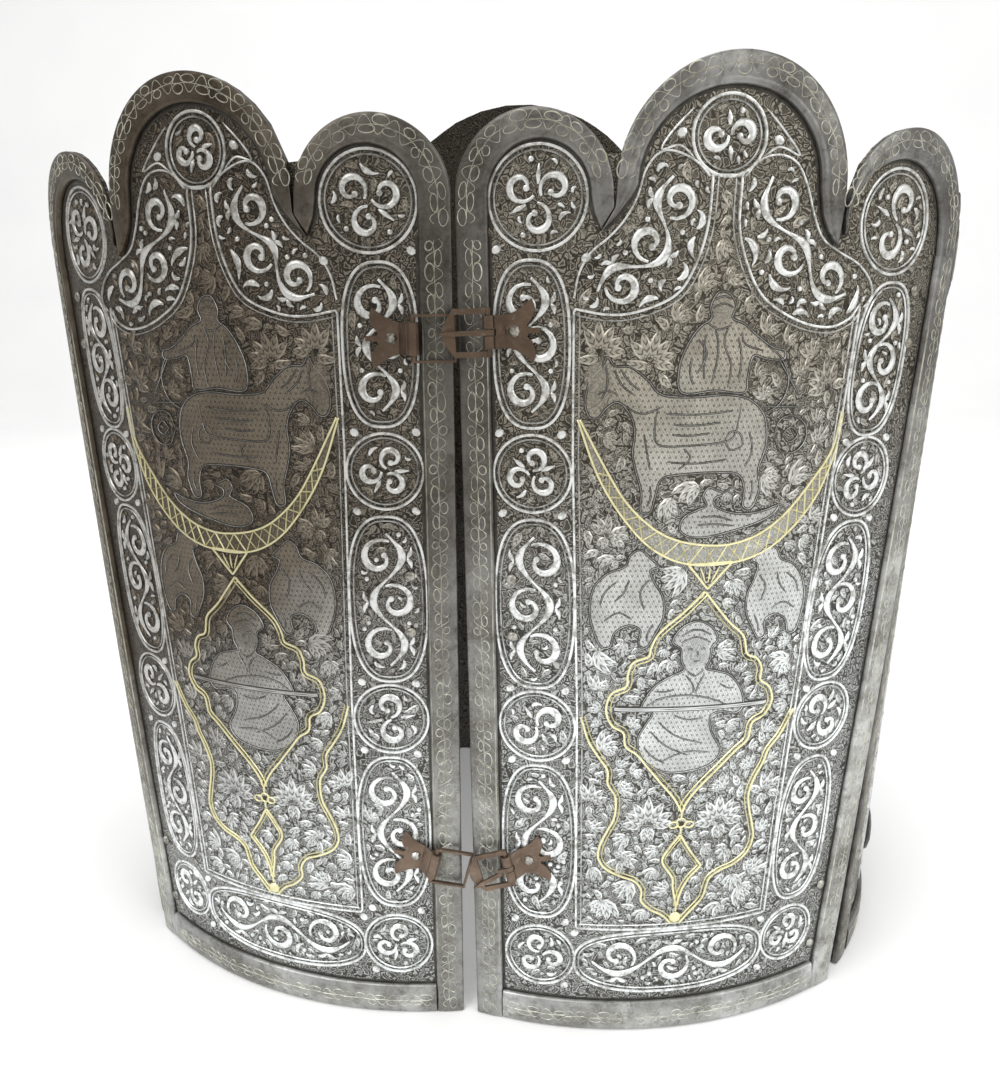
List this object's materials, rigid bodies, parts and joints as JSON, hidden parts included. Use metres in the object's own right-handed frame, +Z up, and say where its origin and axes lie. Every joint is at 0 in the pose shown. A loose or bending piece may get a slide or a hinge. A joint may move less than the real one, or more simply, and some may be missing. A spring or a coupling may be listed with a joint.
{
  "type": "plate cuirass",
  "caption": "Five-plate steel cuirass with lobed tops, raised rims and two front buckles, standing closed; wraps a torso, open at neck, arms and waist.",
  "frame": {"origin": "centre of the footprint, on the surface that the cuirass stands on", "axes": "+Z up, -Y the wearer's front with the buckled gap, +X the viewer's right seen from the front"},
  "size_m": [0.401, 0.2402, 0.403],
  "materials": {
    "plate_steel": "chased and darkened, worn bright on the raised lines",
    "rim_steel": "satin, engraved with fine scrolls",
    "buckle_steel": "brown patina, bright on the edges",
    "rivet_steel": "peened heads",
    "boss_steel": "dark",
    "strap_leather": "old, smooth"
  },
  "bodies": {
    "root": {"front_right_plate": "plate_steel", "front_right_inner_rim": "rim_steel", "front_right_outer_rim": "rim_steel", "front_right_bottom_rim": "rim_steel", "front_right_top_rim": "rim_steel", "front_right_upper_rivet_1": "rivet_steel", "front_right_upper_rivet_2": "rivet_steel", "front_right_lower_rivet_1": "rivet_steel", "front_right_lower_rivet_2": "rivet_steel", "front_right_border_rivet_1": "rivet_steel", "front_right_border_rivet_2": "rivet_steel", "side_right_plate": "plate_steel", "side_right_front_rim": "rim_steel", "side_right_rear_rim": "rim_steel", "side_right_bottom_rim": "rim_steel", "side_right_top_rim": "rim_steel", "front_left_plate": "plate_steel", "front_left_inner_rim": "rim_steel", "front_left_outer_rim": "rim_steel", "front_left_bottom_rim": "rim_steel", "front_left_top_rim": "rim_steel", "front_left_upper_rivet_1": "rivet_steel", "front_left_upper_rivet_2": "rivet_steel", "front_left_lower_rivet_1": "rivet_steel", "front_left_lower_rivet_2": "rivet_steel", "front_left_border_rivet_1": "rivet_steel", "front_left_border_rivet_2": "rivet_steel", "side_left_plate": "plate_steel", "side_left_front_rim": "rim_steel", "side_left_rear_rim": "rim_steel", "side_left_bottom_rim": "rim_steel", "side_left_top_rim": "rim_steel", "back_plate": "plate_steel", "back_right_rim": "rim_steel", "back_left_rim": "rim_steel", "back_bottom_rim": "rim_steel", "back_top_rim": "rim_steel", "strap_right_front_upper": "strap_leather", "strap_right_rear_upper": "strap_leather", "strap_right_front_lower": "strap_leather", "strap_right_rear_lower": "strap_leather", "strap_left_front_upper": "strap_leather", "strap_left_rear_upper": "strap_leather", "strap_left_front_lower": "strap_leather", "strap_left_rear_lower": "strap_leather", "buckle_upper_left_leaf": "buckle_steel", "buckle_upper_loop": "buckle_steel", "buckle_upper_right_leaf": "buckle_steel", "buckle_upper_frame": "buckle_steel", "buckle_upper_tongue": "buckle_steel", "buckle_upper_left_rivet": "rivet_steel", "buckle_upper_right_rivet": "rivet_steel", "buckle_lower_left_leaf": "buckle_steel", "buckle_lower_loop": "buckle_steel", "buckle_lower_right_leaf": "buckle_steel", "buckle_lower_frame": "buckle_steel", "buckle_lower_tongue": "buckle_steel", "buckle_lower_left_rivet": "rivet_steel", "buckle_lower_right_rivet": "rivet_steel", "side_right_boss": "boss_steel"}
  },
  "joints": []
}
